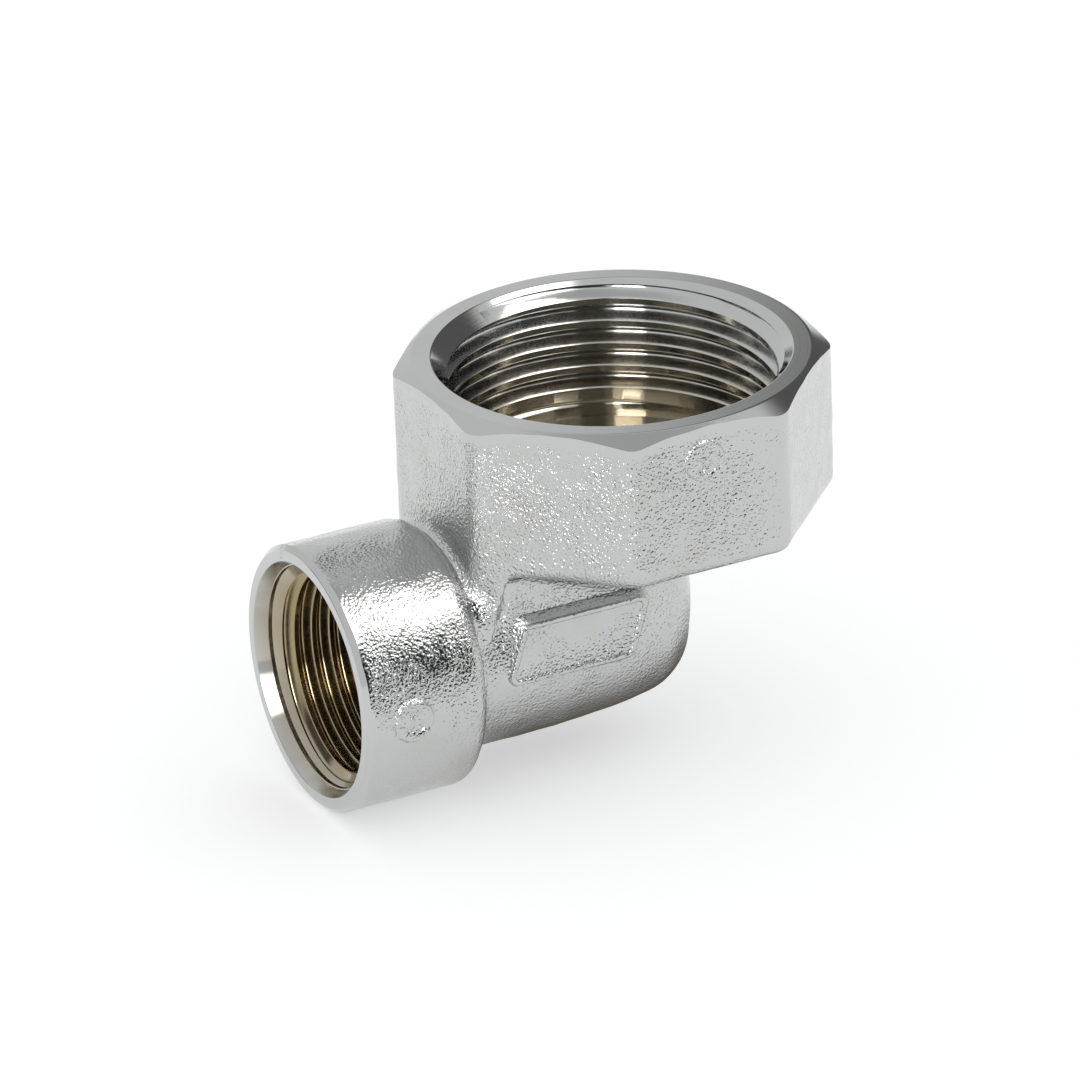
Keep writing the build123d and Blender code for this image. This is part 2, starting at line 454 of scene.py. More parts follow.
def eased(profile, rounds):
    # turned profile with some of its corners rounded: rounds holds a radius for each such corner's number
    steps, runOut = 5, 0.05
    points = []
    for number, corner in enumerate(profile):
        if number not in rounds:
            points.append(corner)
            continue
        here = Vector(corner)
        toBefore = (Vector(profile[number - 1]) - here).normalized()
        toAfter = (Vector(profile[number + 1]) - here).normalized()
        half = toBefore.angle(toAfter) / 2
        radius = rounds[number]
        run = radius / math.tan(half)
        centre = here + (toBefore + toAfter).normalized() * radius / math.sin(half)
        first = here + toBefore * run - centre
        last = here + toAfter * run - centre
        points.append(tuple(here + toBefore * (run + runOut)))
        for step in range(steps + 1):
            arm = first.lerp(last, step / steps).normalized() * radius
            points.append(tuple(centre + arm))
        points.append(tuple(here + toAfter * (run + runOut)))
    return points


# Forged blank, before anything is turned or bored. The net's step sets how fine its skin is; the margins are
# the room round the blank, wider where a face is turned later.
net = {"step": 0.35, "margin": 1, "turnedMargin": 2.2}
low = [nodeLow.x - net["turnedMargin"], -collar["apothem"] - net["margin"], nodeLow.z - net["margin"]]
high = [nodeHigh.x + net["margin"], collar["apothem"] + net["margin"], nodeHigh.z + net["turnedMargin"]]
elbow = makeMesh("elbow", *surfaceNet(forgedField, low, high, net["step"]))
faceOutward(elbow)
print("forged blank:", len(elbow.data.polygons), "faces")

# Raised pad on the neck's side: a slanted plate with sloping sides and a thin rim round its sunken field
pad = {
    "length": 13.15,
    "height": 5.95,
    "slant": 1.95,
    "offset": 9.5,
    "rise": 2.3,
    "faceY": -10.2,
    "rootDepth": 5.0,  # how far the plate reaches into the neck
    "cornerRound": 0.9,
    "edgeRound": 0.15,
    "edgeFrom": 40,  # where the edge's rounding starts, in degrees
    "slope": 0.62,
    "slopeDepth": 0.9,
    "rimWidth": 0.3,
    "rimEase": 0.1,
    "fieldSlope": 0.12,
    "fieldDepth": 0.22,
    "ease": 0.04,
}


def padPlate():
    cornerSteps, edgeSteps = 6, 3
    halfLength, halfHeight, lean = pad["length"] / 2, pad["height"] / 2, pad["slant"] / 2
    corners = [Vector((-halfLength - lean, -halfHeight)), Vector((halfLength - lean, -halfHeight)),
               Vector((halfLength + lean, halfHeight)), Vector((-halfLength + lean, halfHeight))]
    radius = pad["cornerRound"]
    spokes = []
    for number, corner in enumerate(corners):
        before = (corners[number - 1] - corner).normalized()
        after = (corners[(number + 1) % 4] - corner).normalized()
        half = before.angle(after) / 2
        centre = corner + (before + after).normalized() * radius / math.sin(half)
        first = corner + before * radius / math.tan(half) - centre
        last = corner + after * radius / math.tan(half) - centre
        spokes += [(centre, first.lerp(last, step / cornerSteps).normalized()) for step in range(cornerSteps + 1)]

    # each layer is an inset from the plate's outline and a depth below its face
    edge, ease = pad["edgeRound"], pad["ease"]
    layers = [(-pad["slope"], pad["rootDepth"]), (-pad["slope"], pad["slopeDepth"]), (0.0, edge + ease)]
    for step in range(edgeSteps + 1):
        turn = math.radians(pad["edgeFrom"] + (90 - pad["edgeFrom"]) * step / edgeSteps)
        layers.append((edge * (1 - math.cos(turn)), edge * (1 - math.sin(turn))))
    rimEnd = edge + pad["rimWidth"]
    fieldStart = rimEnd + pad["fieldSlope"]
    layers += [(rimEnd - pad["rimEase"], 0.0), (rimEnd, ease), (fieldStart, pad["fieldDepth"] - ease),
               (fieldStart + pad["rimEase"], pad["fieldDepth"])]
    points = []
    for inset, depth in layers:
        for centre, spoke in spokes:
            spot = centre + spoke * (radius - inset)
            points.append((spot.x - pad["offset"], pad["faceY"] + depth, spot.y + smallAxisZ + pad["rise"]))
    count = len(spokes)
    faces = [tuple(range(count))[::-1], tuple(range((len(layers) - 1) * count, len(layers) * count))]
    for layer in range(len(layers) - 1):
        for k in range(count):
            m = (k + 1) % count
            faces.append((layer * count + k, layer * count + m, (layer + 1) * count + m, (layer + 1) * count + k))
    return makeMesh("padPlate", points, faces)


combine(elbow, padPlate(), "UNION")

# Marks of the ejector pins: low discs with a sloping rim, and dents and lumps low on the right
pinMark = {
    "radius": 1.8,
    "rim": 0.4,
    "rimSteps": ((0, 0), (0.25, 0.03), (1, 0.42), (1, 2.5)),  # share of the rim, and depth
    "rings": 22,
    "sectors": 72,
    "sleeveX": 4.65,
    "sleeveHeight": 0.24,
    "collarX": -0.6,
    "collarDrop": 3.6,
    "collarHeight": 0.2,
    "dentDepth": 0.26,
    "dentX": 0.35,
    "dentZ": -0.8,
    "dentSize": 0.75,
    "dentFlatness": 1.5,
    "pits": 14,
    "pitDepths": (-0.1, 0.12),  # lumps and pits by turns
    "pitArea": 0.03,
    "pitSpread": 0.42,
    "pitStretch": (1.3, 0.8),
    "seed": 3,
}
dentRandom = np.random.default_rng(pinMark["seed"])
pitSpots = dentRandom.normal(0, pinMark["pitSpread"], (pinMark["pits"], 2)) * pinMark["pitStretch"]


def markDepth(u, v):
    # how far the mark's face lies below its plane
    fromDentX, fromDentZ = u - pinMark["dentX"], v - pinMark["dentZ"]
    squares = fromDentX**2 + (pinMark["dentFlatness"] * fromDentZ) ** 2
    depth = pinMark["dentDepth"] * np.exp(-squares / pinMark["dentSize"] ** 2)
    for number, (du, dv) in enumerate(pitSpots):
        near = (fromDentX - du) ** 2 + (fromDentZ - dv) ** 2
        depth = depth + pinMark["pitDepths"][number % 2] * np.exp(-near / pinMark["pitArea"])
    return depth


def markDisc(x, z, faceY):
    rings, sectors = pinMark["rings"], pinMark["sectors"]
    rimRings = len(pinMark["rimSteps"]) - 1
    points = [(x, faceY + markDepth(0.0, 0.0), z)]
    for ring in range(1, rings + rimRings + 1):
        rimShare, rimDepth = pinMark["rimSteps"][max(0, ring - rings)]
        reach = pinMark["radius"] * min(ring, rings) / rings
        spread = reach + pinMark["rim"] * rimShare
        for sector in range(sectors):
            turn = 2 * math.pi * sector / sectors
            depth = markDepth(reach * math.cos(turn), reach * math.sin(turn)) + rimDepth
            points.append((x + spread * math.cos(turn), faceY + depth, z + spread * math.sin(turn)))
    faces = [(0, 1 + (s + 1) % sectors, 1 + s) for s in range(sectors)]
    for ring in range(rings + rimRings - 1):
        a, b = 1 + ring * sectors, 1 + (ring + 1) * sectors
        for s in range(sectors):
            t = (s + 1) % sectors
            faces.append((a + s, a + t, b + t, b + s))
    last = 1 + (rings + rimRings - 1) * sectors
    faces.append(tuple(range(last, last + sectors)))
    return makeMesh("markDisc", points, faces)


sleeveFaceY = -sleeve["radius"] - pinMark["sleeveHeight"]
collarFaceY = -collar["apothem"] - pinMark["collarHeight"]
combine(elbow, markDisc(mouthX + pinMark["sleeveX"], smallAxisZ, sleeveFaceY), "UNION")
combine(elbow, markDisc(pinMark["collarX"], topZ - pinMark["collarDrop"], collarFaceY), "UNION")
print("pad and pin marks joined")

# Large port with its G 1 thread, and the turned top
largeThread = {
    "crest": largePort["dims"]["r_mm"],
    "length": largePort["dims"]["length_mm"],
    "root": 16.62,
    "pitch": 2.309,
    "crestEase": 0.2,
    "tapInset": 0.6,
    "tapOverrun": 1.6,
    "lip": 16.8,
    "lipEase": 0.15,
    "core": 14.6,
    "coreLength": 1.8,
}
turning = {"chamferReach": 22, "toolReach": 23, "toolHeight": 4}
chamferDrop = (turning["chamferReach"] - collar["ringRadius"]) * math.tan(math.radians(collar["chamferAngle"]))
toolTopZ, toolFootZ = topZ + turning["toolHeight"], topZ - chamferDrop
largeEnd = -largeThread["length"]
floorZ = largeEnd - largeThread["coreLength"]
topProfile = eased([
    (0, toolTopZ), (turning["toolReach"], toolTopZ), (turning["toolReach"], toolFootZ),
    (turning["chamferReach"], toolFootZ), (collar["ringRadius"], topZ), (largeThread["lip"], topZ),
    (largeThread["crest"], 0), (largeThread["crest"], largeEnd), (largeThread["core"], largeEnd),
    (largeThread["core"], floorZ), (0, floorZ),
], {4: collar["ringEase"], 5: largeThread["lipEase"]})
combine(elbow, lathe("topTool", topProfile, (0, 0, 0), False, largeThread["crest"]), "DIFFERENCE")
tapStart, tapEnd = largeEnd + largeThread["tapInset"], topZ + largeThread["tapOverrun"]
combine(elbow, threadCutter("largeTap", largeThread, tapStart, tapEnd, False, (0, 0, 0)), "DIFFERENCE")
print("large port cut")

# Small port with its G 1/2 thread; heights run inwards from its mouth
smallThread = {
    "crest": smallPort["dims"]["r_mm"],
    "length": smallPort["dims"]["length_mm"],
    "root": 10.48,
    "pitch": 1.814,
    "crestEase": 0.16,
    "tapStart": 0.4,
    "tapInset": 0.5,
    "lip": 11.25,
    "lipEase": 0.1,
    "rimEase": 0.15,
    "bevel": 10.72,
    "bevelDepth": 1.22,
    "step": 10.58,
    "stepDepth": 1.6,
    "stepLead": (0.04, 0.03),
}
waterway = {"radius": 6.2, "offset": 4.0, "endX": -4.8, "pointLength": 3.7, "overrun": 1, "segments": 96}
smallStart = smallThread["stepDepth"] + smallThread["step"] - smallThread["crest"]
smallEnd = smallStart + smallThread["length"]
waterEnd = waterway["endX"] - mouthX
chamfer = sleeve["frontChamfer"]
clearRadius = sleeve["radius"] + turningSpare
mouthCentre = (mouthX, 0, smallAxisZ)
mouthProfile = eased([
    (0, -2 * turningSpare), (clearRadius, -2 * turningSpare), (clearRadius, chamfer + turningSpare),
    (sleeve["radius"] - chamfer, 0), (smallThread["lip"], 0), (smallThread["bevel"], smallThread["bevelDepth"]),
    (smallThread["step"] + smallThread["stepLead"][0], smallThread["bevelDepth"] + smallThread["stepLead"][1]),
    (smallThread["step"], smallThread["stepDepth"]), (smallThread["crest"], smallStart),
    (smallThread["crest"], smallEnd), (waterway["radius"], smallEnd), (waterway["radius"], waterEnd),
    (0, waterEnd + waterway["pointLength"]),
], {3: smallThread["rimEase"], 4: smallThread["lipEase"]})
combine(elbow, lathe("mouthTool", mouthProfile, mouthCentre, True, smallThread["lip"]), "DIFFERENCE")
tapStart, tapEnd = smallThread["tapStart"], smallEnd - smallThread["tapInset"]
combine(elbow, threadCutter("smallTap", smallThread, tapStart, tapEnd, True, mouthCentre), "DIFFERENCE")
waterProfile = [(0, floorZ + waterway["overrun"]), (waterway["radius"], floorZ + waterway["overrun"]),
                (waterway["radius"], smallAxisZ), (0, smallAxisZ - waterway["pointLength"])]
waterTool = lathe("waterTool", waterProfile, (-waterway["offset"], 0, 0), False, waterway["radius"],
                  waterway["segments"])
combine(elbow, waterTool, "DIFFERENCE")

# Nick across the rim of the small mouth, where the seam was trimmed
nick = {
    "outer": 13.1,
    "inner": 11.55,
    "outerTurn": 18.5,
    "innerTurn": 22.2,
    "outerDepth": 1.0,
    "innerDepth": 0.22,
    "steepness": 1.4,
    "above": 0.2,
}


def nickTool():
    points = []
    for end in ("outer", "inner"):
        reach, turn, depth = nick[end], math.radians(nick[end + "Turn"]), nick[end + "Depth"]
        y, z = reach * math.sin(turn), reach * math.cos(turn)
        for side, x in ((-1, -nick["above"]), (1, -nick["above"]), (0, depth)):
            points.append((mouthX + x, y + side * (depth + nick["above"]) / nick["steepness"], smallAxisZ + z))
    return makeMesh("nickTool", points, [(0, 1, 2), (5, 4, 3), (0, 3, 4, 1), (1, 4, 5, 2), (2, 5, 3, 0)], mouthFace)


combine(elbow, nickTool(), "DIFFERENCE")
print("small port and waterway cut")

creaseAngle = 24
elbow.data.polygons.foreach_set("use_smooth", np.ones(len(elbow.data.polygons), bool))
elbow.data.set_sharp_from_angle(angle=math.radians(creaseAngle))
print("elbow:", sum(len(p.vertices) - 2 for p in elbow.data.polygons), "triangles")
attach(elbow, "root")
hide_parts("elbow_body")


def newGroup(name, inputs, outputs):
    # shader group with its sockets; inputs hold a kind and a starting value
    group = bpy.data.node_groups.new(name, "ShaderNodeTree")
    for label, (kind, value) in inputs.items():
        socket = group.interface.new_socket(name=label, in_out="INPUT", socket_type=kind)
        socket.default_value = value
    for label, kind in outputs.items():
        group.interface.new_socket(name=label, in_out="OUTPUT", socket_type=kind)
    return group, group.nodes.new("NodeGroupInput"), group.nodes.new("NodeGroupOutput")


def addNode(tree, kind, settings=None, values=None):
    node = tree.nodes.new("ShaderNode" + kind)
    for name, value in (settings or {}).items():
        setattr(node, name, value)
    for name, value in (values or {}).items():
        node.inputs[name].default_value = value
    return node


def mathNode(tree, operation, first, second=None, third=None):
    # each operand is a number or another node's output
    node = addNode(tree, "Math", {"operation": operation})
    for socket, operand in zip(node.inputs, (first, second, third)):
        if operand is None:
            continue
        if isinstance(operand, (int, float)):
            socket.default_value = operand
        else:
            tree.links.new(operand, socket)
    return node.outputs[0]


def placeInMillimetres(tree, origin=(0, 0, 0)):
    place = addNode(tree, "TexCoord")
    scaled = addNode(tree, "VectorMath", {"operation": "MULTIPLY_ADD"})
    tree.links.new(place.outputs["Object"], scaled.inputs[0])
    scaled.inputs[1].default_value = (1 / mm, 1 / mm, 1 / mm)
    scaled.inputs[2].default_value = tuple(-o for o in origin)
    return scaled.outputs[0]


def splitPlace(tree, place):
    parts = addNode(tree, "SeparateXYZ")
    tree.links.new(place, parts.inputs[0])
    return parts.outputs


def stretched(tree, vector, scale):
    node = addNode(tree, "VectorMath", {"operation": "SCALE"})
    tree.links.new(vector, node.inputs[0])
    if isinstance(scale, (int, float)):
        node.inputs["Scale"].default_value = scale
    else:
        tree.links.new(scale, node.inputs["Scale"])
    return node.outputs[0]


def noiseAt(tree, place, scale, detail, roughness):
    noise = addNode(tree, "TexNoise", None, {"Scale": 1.0, "Detail": detail, "Roughness": roughness})
    tree.links.new(stretched(tree, place, scale), noise.inputs["Vector"])
    return noise.outputs["Fac"]


def rampNode(tree, value, start, end, low=0.0, high=1.0, kind="LINEAR"):
    # runs from low to high while the value runs from start to end
    ramp = addNode(tree, "MapRange", {"interpolation_type": kind},
                   {"From Min": start, "From Max": end, "To Min": low, "To Max": high})
    tree.links.new(value, ramp.inputs["Value"])
    return ramp.outputs["Result"]


def clamped(tree, value):
    return mathNode(tree, "MINIMUM", mathNode(tree, "MAXIMUM", value, 0.0), 1.0)


# Peened skin of the forging. A noise is its scale, detail and roughness; a ramp is two places along an axis, and
# the strengths there.
forgedLook = {
    "grain": 3.6,
    "lumps": (1.4, 0.45),  # detail and roughness, at the grain's scale
    "height": 0.24,
    "patch": 0.5,
    "patches": (0.22, 2.0, 0.5),
    "patchContrast": (3.0, -1.0),
    "roughness": 0.07,
    "rubbed": (0.15, 1.3),  # distance from a turned face over which the skin comes in
    "towardsHeel": (-2.0, 11.0, 1.0, 0.4),
    "upwards": (-19.0, -13.0),
    "onCollar": (-20.5, -18.5, -0.35, 0.28),
    "below": 0.72,
}


def makePeenedSkin():
    # height in millimetres: round lumps, with patches where they are flatter
    group, asked, given = newGroup(
        "peenedSkin",
        {"Grain": ("NodeSocketFloat", 1.6), "Height": ("NodeSocketFloat", 0.1), "Patch": ("NodeSocketFloat", 0.3)},
        {"Height": "NodeSocketFloat"},
    )
    spot = placeInMillimetres(group)
    lumps = noiseAt(group, spot, asked.outputs["Grain"], *forgedLook["lumps"])
    patches = noiseAt(group, spot, *forgedLook["patches"])
    patches = clamped(group, mathNode(group, "MULTIPLY_ADD", patches, *forgedLook["patchContrast"]))
    share = mathNode(group, "SUBTRACT", 1.0, mathNode(group, "MULTIPLY", patches, asked.outputs["Patch"]))
    raised = mathNode(group, "MULTIPLY", mathNode(group, "SUBTRACT", lumps, 0.5), asked.outputs["Height"])
    raised = mathNode(group, "MULTIPLY", raised, share)

    # next to the turned top and mouth the skin is rubbed smooth
    x, y, z = splitPlace(group, spot)
    tilt = math.radians(collar["chamferAngle"])
    reach = mathNode(group, "SQRT", mathNode(group, "MULTIPLY_ADD", x, x, mathNode(group, "MULTIPLY", y, y)))
    fall = mathNode(group, "MULTIPLY", mathNode(group, "SUBTRACT", topZ, z), math.cos(tilt))
    inwards = mathNode(group, "SUBTRACT", collar["ringRadius"], reach)
    under = mathNode(group, "MULTIPLY_ADD", inwards, math.sin(tilt), fall)
    behind = mathNode(group, "SUBTRACT", x, mouthX)
    rubbed = rampNode(group, mathNode(group, "MINIMUM", under, behind), *forgedLook["rubbed"], kind="SMOOTHSTEP")
    raised = mathNode(group, "MULTIPLY", raised, rubbed)

    # it is rougher on the collar, and smoother on the sleeve's top, towards the heel and below
    along = rampNode(group, x, *forgedLook["towardsHeel"])
    upward = rampNode(group, z, *forgedLook["upwards"])
    onCollar = rampNode(group, x, *forgedLook["onCollar"])
    strength = mathNode(group, "MULTIPLY_ADD", upward, onCollar, forgedLook["below"])
    raised = mathNode(group, "MULTIPLY", raised, along)
    group.links.new(mathNode(group, "MULTIPLY", raised, strength), given.inputs["Height"])
    return group


# Plating, and a yellower, darker brass-like tone mixed into it: in random clouds, and in the bores more of it
# further in
plating = {
    "colour": (0.535, 0.542, 0.54, 1),
    "thin": (0.46, 0.38, 0.24, 1),
    "cloud": (0.16, 3.0, 0.55),
    "fine": (2.6, 2.0, 0.6),
    "unevenness": 0.6,
    "roughnessSpread": (0.9, 0.1),
}


def makePlatingTone():
    # tone of the plating: a little uneven, and yellower and darker as Reach rises
    group, asked, given = newGroup(
        "platingTone",
        {"Plate": ("NodeSocketColor", plating["colour"]), "Thin": ("NodeSocketColor", plating["thin"]),
         "Reach": ("NodeSocketFloat", 0.0), "Roughness": ("NodeSocketFloat", 0.1)},
        {"Colour": "NodeSocketColor", "Roughness": "NodeSocketFloat"},
    )
    spot = placeInMillimetres(group)
    cloud = noiseAt(group, spot, *plating["cloud"])
    fine = noiseAt(group, spot, *plating["fine"])
    uneven = mathNode(group, "SUBTRACT", cloud, 0.5)
    # random clouds, plus Reach, set the share of the yellower, darker tone
    amount = clamped(group, mathNode(group, "MULTIPLY_ADD", uneven, plating["unevenness"], asked.outputs["Reach"]))
    mixed = addNode(group, "Mix", {"data_type": "RGBA"})
    group.links.new(amount, mixed.inputs["Factor"])
    group.links.new(asked.outputs["Plate"], mixed.inputs[6])
    group.links.new(asked.outputs["Thin"], mixed.inputs[7])
    group.links.new(mixed.outputs[2], given.inputs["Colour"])
    spread = mathNode(group, "MULTIPLY_ADD", mathNode(group, "ADD", cloud, fine), *plating["roughnessSpread"])
    group.links.new(mathNode(group, "MULTIPLY", spread, asked.outputs["Roughness"]), given.inputs["Roughness"])
    return group


turningNoise = (4.5, 3.0, 0.7)  # scale, detail and roughness of the rings


def makeTurningMarks():
    # marks of the turning tool: fine rings round the Z axis, or round the X axis at the level asked for
    group, asked, given = newGroup(
        "turningMarks",
        {"Level": ("NodeSocketFloat", 0.0), "Along X": ("NodeSocketFloat", 0.0),
         "Height": ("NodeSocketFloat", 0.002)},
        {"Height": "NodeSocketFloat"},
    )
    x, y, z = splitPlace(group, placeInMillimetres(group))

    def either(alongZ, alongX):
        mixed = addNode(group, "Mix", {"data_type": "FLOAT"})
        group.links.new(asked.outputs["Along X"], mixed.inputs["Factor"])
        group.links.new(alongZ, mixed.inputs[2])
        group.links.new(alongX, mixed.inputs[3])
        return mixed.outputs[0]

    across = either(x, mathNode(group, "SUBTRACT", z, asked.outputs["Level"]))
    length = either(z, x)
    squares = mathNode(group, "MULTIPLY_ADD", y, y, mathNode(group, "MULTIPLY", across, across))
    ringSpot = addNode(group, "CombineXYZ")
    group.links.new(mathNode(group, "SQRT", squares), ringSpot.inputs[0])
    group.links.new(length, ringSpot.inputs[1])
    rings = noiseAt(group, ringSpot.outputs[0], *turningNoise)
    raised = mathNode(group, "MULTIPLY", mathNode(group, "SUBTRACT", rings, 0.5), asked.outputs["Height"])
    group.links.new(raised, given.inputs["Height"])
    return group


def useGroup(tree, group, values):
    node = tree.nodes.new("ShaderNodeGroup")
    node.node_tree = group
    for name, value in values.items():
        node.inputs[name].default_value = value
    return node


def bumpFrom(tree, height):
    bump = addNode(tree, "Bump", None, {"Strength": 1.0, "Distance": mm})
    tree.links.new(height, bump.inputs["Height"])
    return bump.outputs["Normal"]


peenedSkin = makePeenedSkin()
platingTone = makePlatingTone()
turningMarks = makeTurningMarks()

# Turned faces and bores
turnedLook = {"marks": 0.004, "roughness": 0.11, "streak": 0.5}
boredLook = {"marks": 0.004, "roughness": 0.14, "streak": 0.95}
# share of the yellower, darker tone at a bore's mouth and at the given depth: the bore turns darker and yellower
# further in
largeDepthTone = {"near": -0.1, "far": 0.6, "depth": 14.0, "thin": plating["thin"]}
smallDepthTone = {"near": 0.22, "far": 0.95, "depth": 3.2, "thin": (0.35, 0.275, 0.16, 1)}


def chromeFinish(material, look):
    material.use_nodes = True
    tree = material.node_tree
    shader = tree.nodes["Principled BSDF"]
    shader.inputs["Metallic"].default_value = 1
    tone = useGroup(tree, platingTone, {"Plate": plating["colour"], "Thin": plating["thin"],
                                        "Roughness": look["roughness"]})
    tree.links.new(tone.outputs["Colour"], shader.inputs["Base Color"])
    tree.links.new(tone.outputs["Roughness"], shader.inputs["Roughness"])
    return tree, shader, tone


def forgedFinish(material, look):
    tree, shader, tone = chromeFinish(material, look)
    skin = useGroup(tree, peenedSkin, {"Grain": look["grain"], "Height": look["height"], "Patch": look["patch"]})
    tree.links.new(bumpFrom(tree, skin.outputs["Height"]), shader.inputs["Normal"])


def turnedFinish(material, look, alongX, reach=None):
    # streaks and marks run round the port's axis; reach says how the colour turns yellower and darker with depth
    tree, shader, tone = chromeFinish(material, look)
    origin = (0, 0, smallAxisZ) if alongX else (0, 0, 0)
    marks = useGroup(tree, turningMarks, {"Level": origin[2], "Along X": float(alongX), "Height": look["marks"]})
    tree.links.new(bumpFrom(tree, marks.outputs["Height"]), shader.inputs["Normal"])
    spot = placeInMillimetres(tree, origin)
    around = addNode(tree, "VectorMath", {"operation": "CROSS_PRODUCT"})
    around.inputs[0].default_value = (1, 0, 0) if alongX else (0, 0, 1)
    tree.links.new(spot, around.inputs[1])
    tree.links.new(around.outputs[0], shader.inputs["Tangent"])
    shader.inputs["Anisotropic"].default_value = look["streak"]
    shader.inputs["Anisotropic Rotation"].default_value = 0.25  # a quarter turn: the streaks cross the marks
    if reach:
        # the colour turns darker and yellower deeper into the bore
        start, end = (mouthX, mouthX + reach["depth"]) if alongX else (topZ, topZ - reach["depth"])
        inwards = splitPlace(tree, spot)[0 if alongX else 2]
        tree.links.new(rampNode(tree, inwards, start, end, reach["near"], reach["far"]), tone.inputs["Reach"])
        tone.inputs["Thin"].default_value = reach["thin"]


forgedFinish(finishes[forgedSkin], forgedLook)
turnedFinish(finishes[topFace], turnedLook, False)
turnedFinish(finishes[largeBore], boredLook, False, largeDepthTone)
turnedFinish(finishes[mouthFace], turnedLook, True)
turnedFinish(finishes[smallBore], boredLook, True, smallDepthTone)
print("finishes made")


def flatSheet(name, halfWide, halfTall):
    mesh = bpy.data.meshes.new(name)
    mesh.from_pydata([(-halfWide, -halfTall, 0), (halfWide, -halfTall, 0), (halfWide, halfTall, 0),
                      (-halfWide, halfTall, 0)], [], [(0, 1, 2, 3)])
    sheet = bpy.data.objects.new(name, mesh)
    bpy.context.scene.collection.objects.link(sheet)
    return sheet


# Floor at the fitting's lowest point
floorLook = {"size": 2.0, "colour": (0.8, 0.8, 0.8, 1), "roughness": 0.9, "glow": 0.4}


def makeFloor():
    # white to the camera and in reflections, and it keeps the shadow
    floor = flatSheet("floor", floorLook["size"], floorLook["size"])
    floor.location.z = cadLow.z
    material = bpy.data.materials.new("whiteFloor")
    material.use_nodes = True
    tree = material.node_tree
    shader = tree.nodes["Principled BSDF"]
    shader.inputs["Base Color"].default_value = floorLook["colour"]
    shader.inputs["Roughness"].default_value = floorLook["roughness"]
    shader.inputs["Specular IOR Level"].default_value = 0.0
    rays = addNode(tree, "LightPath")
    seen = mathNode(tree, "ADD", rays.outputs["Is Camera Ray"], rays.outputs["Is Glossy Ray"])
    seen = mathNode(tree, "ADD", seen, rays.outputs["Is Transmission Ray"])
    glow = addNode(tree, "Emission")
    tree.links.new(mathNode(tree, "MULTIPLY", seen, floorLook["glow"]), glow.inputs["Strength"])
    both = addNode(tree, "AddShader")
    tree.links.new(shader.outputs[0], both.inputs[0])
    tree.links.new(glow.outputs[0], both.inputs[1])
    tree.links.new(both.outputs[0], tree.nodes["Material Output"].inputs["Surface"])
    floor.data.materials.append(material)
    return floor


floor = makeFloor()

# Studio: a pale tent, and cards that only the chrome sees. Angles turn from +Y towards +X, and sizes are angles
# too; fades are shares of a card's size at its left, right, lower and upper edge.
studio = {"tent": (0.8, 0.825, 0.82, 1), "cardDistance": 400, "middle": (-6, 0, -18), "leastSpread": 0.5}
white = (1.0, 1.0, 1.0, 1)
cards = {
    "softbox": {"turn": 133, "rise": 54, "wide": 60, "tall": 37, "strength": 4.2, "colour": (1.0, 0.985, 0.95, 1),
                "fades": (0.04, 0.04, 0.25, 0.25)},
    "strip": {"turn": 218, "rise": 27, "wide": 21, "tall": 40, "strength": 9.0, "colour": (1.0, 0.985, 0.96, 1),
              "fades": (0.05, 0.05, 0.2, 0.2)},
    "front": {"turn": 174, "rise": 15.5, "wide": 60, "tall": 38, "strength": 0.035, "colour": (1.0, 1.0, 1.05, 1),
              "fades": (0.08, 0.05, 0.1, 0.15)},
    "slot": {"turn": 190, "rise": 42, "wide": 26, "tall": 34, "strength": 0.045, "colour": white,
             "fades": (0.1, 0.1, 0.1, 0.2)},
    "right": {"turn": 59.5, "rise": 29, "wide": 67, "tall": 50, "strength": 0.13, "colour": white,
              "fades": (0.16, 0.12, 0.1, 0.2)},
    "left": {"turn": 300, "rise": 9, "wide": 44, "tall": 32, "strength": 0.1, "colour": white,
             "fades": (0.2, 0.2, 0.2, 0.2)},
    "above": {"turn": 60, "rise": 78, "wide": 90, "tall": 44, "strength": 0.55, "colour": white,
              "fades": (0.3, 0.3, 0.3, 0.3)},
}
# Deep shade under the neck and heel, just above the floor; its sizes are lengths
shade = {
    "x": 8.0,
    "y": 2.0,
    "lift": 0.15,
    "wide": 64.0,
    "tall": 42.0,
    "strength": 1.0,
    "colour": (0.12, 0.108, 0.085, 1),
    "fades": (0.22, 0.5, 0.45, 0.35),
}

world = bpy.data.worlds.new("studio")
bpy.context.scene.world = world
world.use_nodes = True
world.node_tree.nodes["Background"].inputs["Color"].default_value = studio["tent"]
world.node_tree.nodes["Background"].inputs["Strength"].default_value = 1.0


def edgeFade(tree, halves, fades):
    # 1 on the card, down to 0 at its edges
    place = addNode(tree, "TexCoord")
    parts = splitPlace(tree, place.outputs["Object"])
    result = 1.0
    for part, half, edges in zip(parts, halves, (fades[:2], fades[2:])):
        for sign, fade in zip((1, -1), edges):
            distance = mathNode(tree, "MULTIPLY", part, sign)
            ramp = rampNode(tree, distance, -half, -half + 2 * half * fade, kind="SMOOTHSTEP")
            result = mathNode(tree, "MULTIPLY", ramp, result)
    return result


def hangCard(name, card, centre, turned, halfWide, halfTall):
    piece = flatSheet(name, halfWide, halfTall)
    piece.matrix_world = Matrix.Translation(centre) @ turned.to_4x4()
    material = bpy.data.materials.new(name)
    material.use_nodes = True
    tree = material.node_tree
    tree.nodes.remove(tree.nodes["Principled BSDF"])
    light = addNode(tree, "Emission", None, {"Color": card["colour"], "Strength": card["strength"]})
    clear = addNode(tree, "BsdfTransparent")
    mixed = addNode(tree, "MixShader")
    tree.links.new(edgeFade(tree, (halfWide, halfTall), card["fades"]), mixed.inputs[0])
    tree.links.new(clear.outputs[0], mixed.inputs[1])
    tree.links.new(light.outputs[0], mixed.inputs[2])
    tree.links.new(mixed.outputs[0], tree.nodes["Material Output"].inputs["Surface"])
    piece.data.materials.append(material)
    piece.visible_camera = False
    piece.visible_diffuse = False
    piece.visible_shadow = False
    return piece


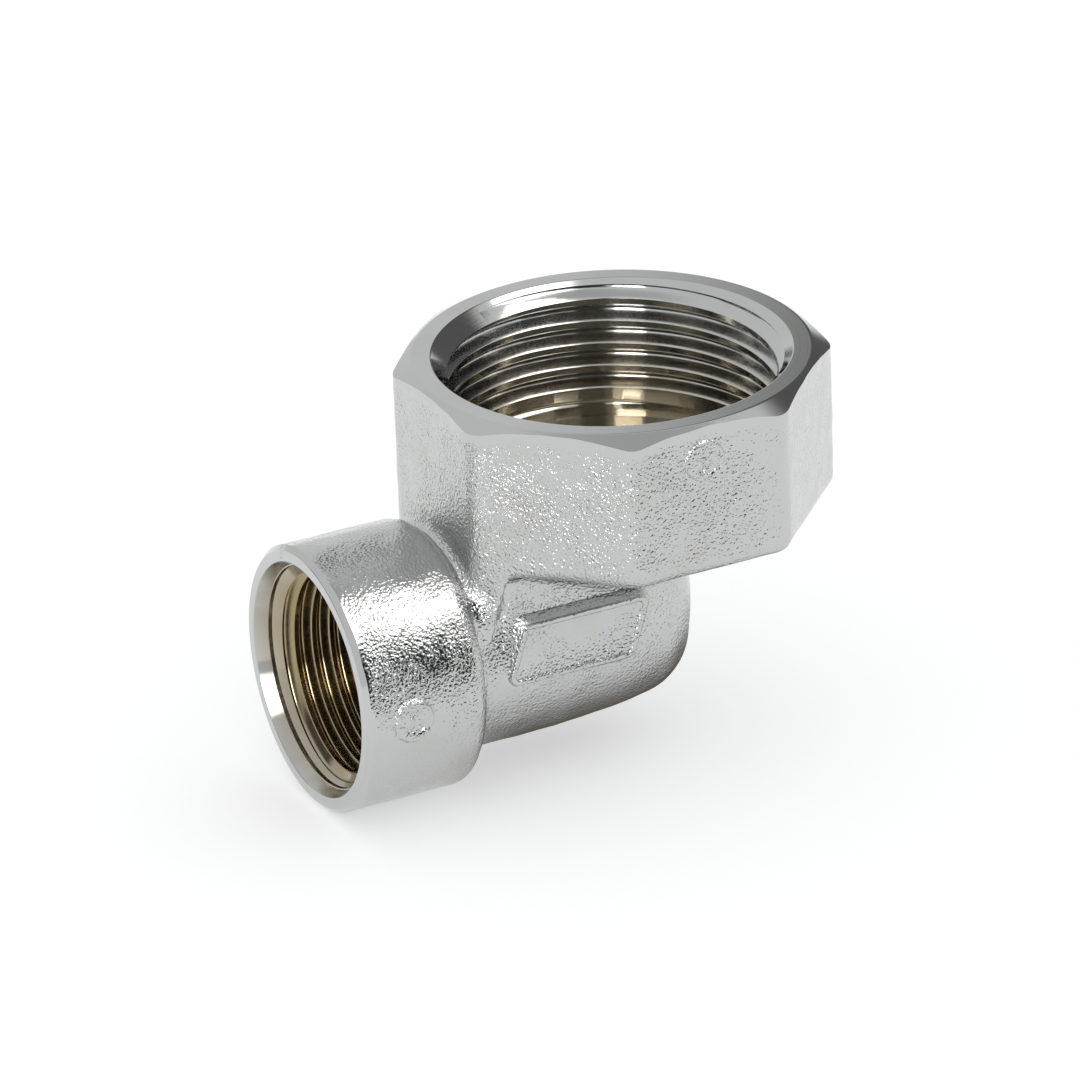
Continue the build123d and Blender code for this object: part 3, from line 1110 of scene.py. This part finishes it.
def makeShade():
    centre = Vector((shade["x"] * mm, shade["y"] * mm, cadLow.z + shade["lift"] * mm))
    return hangCard("shade", shade, centre, Matrix.Identity(3), shade["wide"] / 2 * mm, shade["tall"] / 2 * mm)


def makeCard(name, card):
    # stands round the fitting at the studio's distance
    turn, rise = math.radians(card["turn"]), math.radians(card["rise"])
    aim = Vector((math.sin(turn) * math.cos(rise), math.cos(turn) * math.cos(rise), math.sin(rise)))
    side = aim.cross(Vector((0, 0, 1))).normalized()
    over = side.cross(aim)
    distance = studio["cardDistance"] * mm
    spread = max(math.cos(rise), studio["leastSpread"])
    halfWide = distance * math.tan(math.radians(card["wide"] / 2)) * spread
    halfTall = distance * math.tan(math.radians(card["tall"] / 2))
    centre = Vector(studio["middle"]) * mm + aim * distance
    return hangCard(name, card, centre, Matrix((side, over, -aim)).transposed(), halfWide, halfTall)


makeShade()
[makeCard(name, card) for name, card in cards.items()]
print("studio set")

# Camera: measured from the centre of the large mouth
cameraView = {
    "azimuth": -26.6,
    "elevation": 25.4,
    "roll": -2.14,
    "distance": 808.9,
    "right": -6.626,
    "up": -17.556,
    "lens": 291.6,
    "sensor": 36,
    "nearest": 50,
}


def makeCamera():
    azimuth, elevation, roll = (math.radians(cameraView[angle]) for angle in ("azimuth", "elevation", "roll"))
    flat = math.cos(elevation)
    back = Vector((math.sin(azimuth) * flat, -math.cos(azimuth) * flat, math.sin(elevation)))
    levelRight = Vector((0, 0, 1)).cross(back).normalized()
    levelUp = back.cross(levelRight)
    right = levelRight * math.cos(roll) + levelUp * math.sin(roll)
    up = levelUp * math.cos(roll) - levelRight * math.sin(roll)
    spot = Vector((0, 0, topZ)) + back * cameraView["distance"] + right * cameraView["right"] + up * cameraView["up"]
    camera = bpy.data.objects.new("camera", bpy.data.cameras.new("camera"))
    camera.matrix_world = Matrix.Translation(spot * mm) @ Matrix((right, up, back)).transposed().to_4x4()
    camera.data.lens = cameraView["lens"]
    camera.data.sensor_width = cameraView["sensor"]
    camera.data.clip_start = cameraView["nearest"] * mm
    bpy.context.scene.collection.objects.link(camera)
    return camera


bpy.context.scene.camera = makeCamera()
bpy.context.scene.view_settings.view_transform = "Standard"
